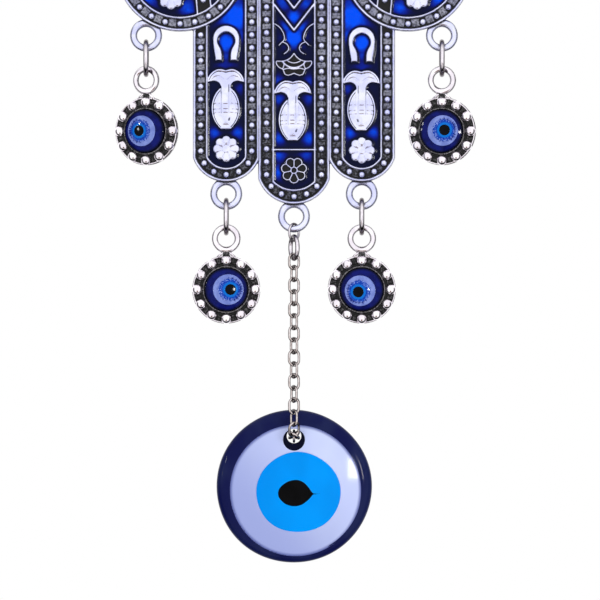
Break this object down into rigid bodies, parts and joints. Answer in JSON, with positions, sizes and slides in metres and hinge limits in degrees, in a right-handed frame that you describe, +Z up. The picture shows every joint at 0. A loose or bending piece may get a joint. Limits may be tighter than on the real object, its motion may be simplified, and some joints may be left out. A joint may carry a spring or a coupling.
{
  "type": "wall ornament",
  "caption": "Hand-shaped metal wall ornament with enamel fields, hanging fingers down, with eye charms on rings and a glass eye disc on a looped chain.",
  "frame": {"origin": "centre of the hanging eye's bore, halfway through its thickness", "axes": "+X across the hand to the viewer's right, -Y out of the front towards the viewer, +Z up along the hanging direction"},
  "size_m": [0.072, 0.0116, 0.1592],
  "materials": {
    "antique_silver": "antiqued silver plate on zinc",
    "blue_enamel": "poured enamel",
    "ring_silver": "antiqued silver plate",
    "chain_silver": "antiqued silver plate",
    "navy_glass": "opaque navy glass, fire polished",
    "white_glass": "opaque white glass, fire polished",
    "sky_glass": "opaque light blue glass, fire polished",
    "black_glass": "opaque black glass, fire polished",
    "eye_navy": "clear domed resin over dark blue",
    "eye_white": "clear domed resin over white",
    "eye_blue": "clear domed resin over blue",
    "eye_black": "clear domed resin over black"
  },
  "bodies": {
    "hand": {"hand_casting": "antique_silver", "middle_finger_enamel": "blue_enamel", "left_finger_enamel": "blue_enamel", "right_finger_enamel": "blue_enamel", "left_lobe_enamel": "blue_enamel", "right_lobe_enamel": "blue_enamel", "palm_enamel": "blue_enamel", "palm_eye_base": "eye_navy", "palm_eye_white": "eye_white", "palm_eye_iris": "eye_blue", "palm_eye_pupil": "eye_black"},
    "left_outer_ring": {"left_outer_ring": "ring_silver"},
    "left_outer_charm": {"left_outer_setting": "antique_silver", "left_outer_eye_base": "eye_navy", "left_outer_eye_white": "eye_white", "left_outer_eye_iris": "eye_blue", "left_outer_eye_pupil": "eye_black"},
    "left_inner_ring": {"left_inner_ring": "ring_silver"},
    "left_inner_charm": {"left_inner_setting": "antique_silver", "left_inner_eye_base": "eye_navy", "left_inner_eye_white": "eye_white", "left_inner_eye_iris": "eye_blue", "left_inner_eye_pupil": "eye_black"},
    "right_inner_ring": {"right_inner_ring": "ring_silver"},
    "right_inner_charm": {"right_inner_setting": "antique_silver", "right_inner_eye_base": "eye_navy", "right_inner_eye_white": "eye_white", "right_inner_eye_iris": "eye_blue", "right_inner_eye_pupil": "eye_black"},
    "right_outer_ring": {"right_outer_ring": "ring_silver"},
    "right_outer_charm": {"right_outer_setting": "antique_silver", "right_outer_eye_base": "eye_navy", "right_outer_eye_white": "eye_white", "right_outer_eye_iris": "eye_blue", "right_outer_eye_pupil": "eye_black"},
    "thin_ring": {"thin_ring": "ring_silver"},
    "thick_ring": {"thick_ring": "ring_silver"},
    "chain_links_01": {"chain_links_01": "chain_silver"},
    "chain_links_02": {"chain_links_02": "chain_silver"},
    "chain_links_03": {"chain_links_03": "chain_silver"},
    "chain_links_04": {"chain_links_04": "chain_silver"},
    "chain_links_05": {"chain_links_05": "chain_silver"},
    "chain_links_06": {"chain_links_06": "chain_silver"},
    "chain_links_07": {"chain_links_07": "chain_silver"},
    "chain_links_08": {"chain_links_08": "chain_silver"},
    "chain_links_09": {"chain_links_09": "chain_silver"},
    "chain_links_10": {"chain_links_10": "chain_silver"},
    "chain_links_11": {"chain_links_11": "chain_silver"},
    "chain_links_12": {"chain_links_12": "chain_silver"},
    "chain_links_13": {"chain_links_13": "chain_silver"},
    "chain_links_14": {"chain_links_14": "chain_silver"},
    "chain_links_15": {"chain_links_15": "chain_silver"},
    "chain_hole_links": {"chain_hole_links": "chain_silver"},
    "disc": {"disc_body": "navy_glass", "disc_white": "white_glass", "disc_iris": "sky_glass", "disc_pupil": "black_glass"}
  },
  "joints": [
    {"name": "left_outer_ring_swing", "type": "hinge", "parent": "hand", "child": "left_outer_ring", "pos_m": [-0.02958, 0, -0.05262], "axis": [1, 0, 0], "range_deg": [-45, 45]},
    {"name": "left_outer_charm_swing", "type": "hinge", "parent": "left_outer_ring", "child": "left_outer_charm", "pos_m": [-0.02958, 0, -0.05794], "axis": [0, 1, 0], "range_deg": [-8, 30]},
    {"name": "left_inner_ring_swing", "type": "hinge", "parent": "hand", "child": "left_inner_ring", "pos_m": [-0.01355, 0, -0.0843], "axis": [1, 0, 0], "range_deg": [-45, 45]},
    {"name": "left_inner_charm_swing", "type": "hinge", "parent": "left_inner_ring", "child": "left_inner_charm", "pos_m": [-0.01355, 0, -0.08962], "axis": [0, 1, 0], "range_deg": [-20, 20]},
    {"name": "right_inner_ring_swing", "type": "hinge", "parent": "hand", "child": "right_inner_ring", "pos_m": [0.01355, 0, -0.0843], "axis": [1, 0, 0], "range_deg": [-45, 45]},
    {"name": "right_inner_charm_swing", "type": "hinge", "parent": "right_inner_ring", "child": "right_inner_charm", "pos_m": [0.01355, 0, -0.08962], "axis": [0, 1, 0], "range_deg": [-20, 20]},
    {"name": "right_outer_ring_swing", "type": "hinge", "parent": "hand", "child": "right_outer_ring", "pos_m": [0.02958, 0, -0.05262], "axis": [1, 0, 0], "range_deg": [-45, 45]},
    {"name": "right_outer_charm_swing", "type": "hinge", "parent": "right_outer_ring", "child": "right_outer_charm", "pos_m": [0.02958, 0, -0.05794], "axis": [0, 1, 0], "range_deg": [-30, 8]},
    {"name": "thin_ring_swing", "type": "hinge", "parent": "hand", "child": "thin_ring", "pos_m": [0, 0, -0.0888], "axis": [1, 0, 0], "range_deg": [-30, 30]},
    {"name": "thick_ring_swing", "type": "hinge", "parent": "thin_ring", "child": "thick_ring", "pos_m": [0, 0, -0.09117], "axis": [0.5592, 0.829, 0], "range_deg": [-15, 15]},
    {"name": "chain_links_01_swing", "type": "hinge", "parent": "thick_ring", "child": "chain_links_01", "pos_m": [0, 0, -0.09477], "axis": [0, -1, 0], "range_deg": [-25, 25]},
    {"name": "chain_links_02_swing", "type": "hinge", "parent": "chain_links_01", "child": "chain_links_02", "pos_m": [0, 0, -0.0965], "axis": [0, 1, 0], "range_deg": [-25, 25]},
    {"name": "chain_links_03_swing", "type": "hinge", "parent": "chain_links_02", "child": "chain_links_03", "pos_m": [0, 0, -0.09891], "axis": [0, -1, 0], "range_deg": [-25, 25]},
    {"name": "chain_links_04_swing", "type": "hinge", "parent": "chain_links_03", "child": "chain_links_04", "pos_m": [0, 0, -0.10132], "axis": [0, 1, 0], "range_deg": [-25, 25]},
    {"name": "chain_links_05_swing", "type": "hinge", "parent": "chain_links_04", "child": "chain_links_05", "pos_m": [0, 0, -0.10373], "axis": [0, -1, 0], "range_deg": [-25, 25]},
    {"name": "chain_links_06_swing", "type": "hinge", "parent": "chain_links_05", "child": "chain_links_06", "pos_m": [0, 0, -0.10613], "axis": [0, 1, 0], "range_deg": [-25, 25]},
    {"name": "chain_links_07_swing", "type": "hinge", "parent": "chain_links_06", "child": "chain_links_07", "pos_m": [0, 0, -0.10854], "axis": [0, -1, 0], "range_deg": [-25, 25]},
    {"name": "chain_links_08_swing", "type": "hinge", "parent": "chain_links_07", "child": "chain_links_08", "pos_m": [0, 0, -0.11095], "axis": [0, 1, 0], "range_deg": [-25, 25]},
    {"name": "chain_links_09_swing", "type": "hinge", "parent": "chain_links_08", "child": "chain_links_09", "pos_m": [0, 0, -0.11336], "axis": [0, -1, 0], "range_deg": [-25, 25]},
    {"name": "chain_links_10_swing", "type": "hinge", "parent": "chain_links_09", "child": "chain_links_10", "pos_m": [0, 0, -0.11576], "axis": [0, 1, 0], "range_deg": [-25, 25]},
    {"name": "chain_links_11_swing", "type": "hinge", "parent": "chain_links_10", "child": "chain_links_11", "pos_m": [0, 0, -0.11817], "axis": [0, -1, 0], "range_deg": [-25, 25]},
    {"name": "chain_links_12_swing", "type": "hinge", "parent": "chain_links_11", "child": "chain_links_12", "pos_m": [0, 0, -0.12058], "axis": [0, 1, 0], "range_deg": [-25, 25]},
    {"name": "chain_links_13_swing", "type": "hinge", "parent": "chain_links_12", "child": "chain_links_13", "pos_m": [0, 0, -0.12299], "axis": [0, -1, 0], "range_deg": [-25, 25]},
    {"name": "chain_links_14_swing", "type": "hinge", "parent": "chain_links_13", "child": "chain_links_14", "pos_m": [0, 0, -0.12539], "axis": [0, 1, 0], "range_deg": [-25, 25]},
    {"name": "chain_links_15_swing", "type": "hinge", "parent": "chain_links_14", "child": "chain_links_15", "pos_m": [0, 0, -0.12777], "axis": [0, -1, 0], "range_deg": [-8, 8]},
    {"name": "chain_hole_links_swing", "type": "hinge", "parent": "chain_links_15", "child": "chain_hole_links", "pos_m": [0, 0, -0.1298], "axis": [0, -1, 0], "range_deg": [-5, 5]},
    {"name": "disc_swing", "type": "hinge", "parent": "chain_hole_links", "child": "disc", "pos_m": [0, 0, -0.13021], "axis": [0, 1, 0], "range_deg": [-45, 45]}
  ]
}
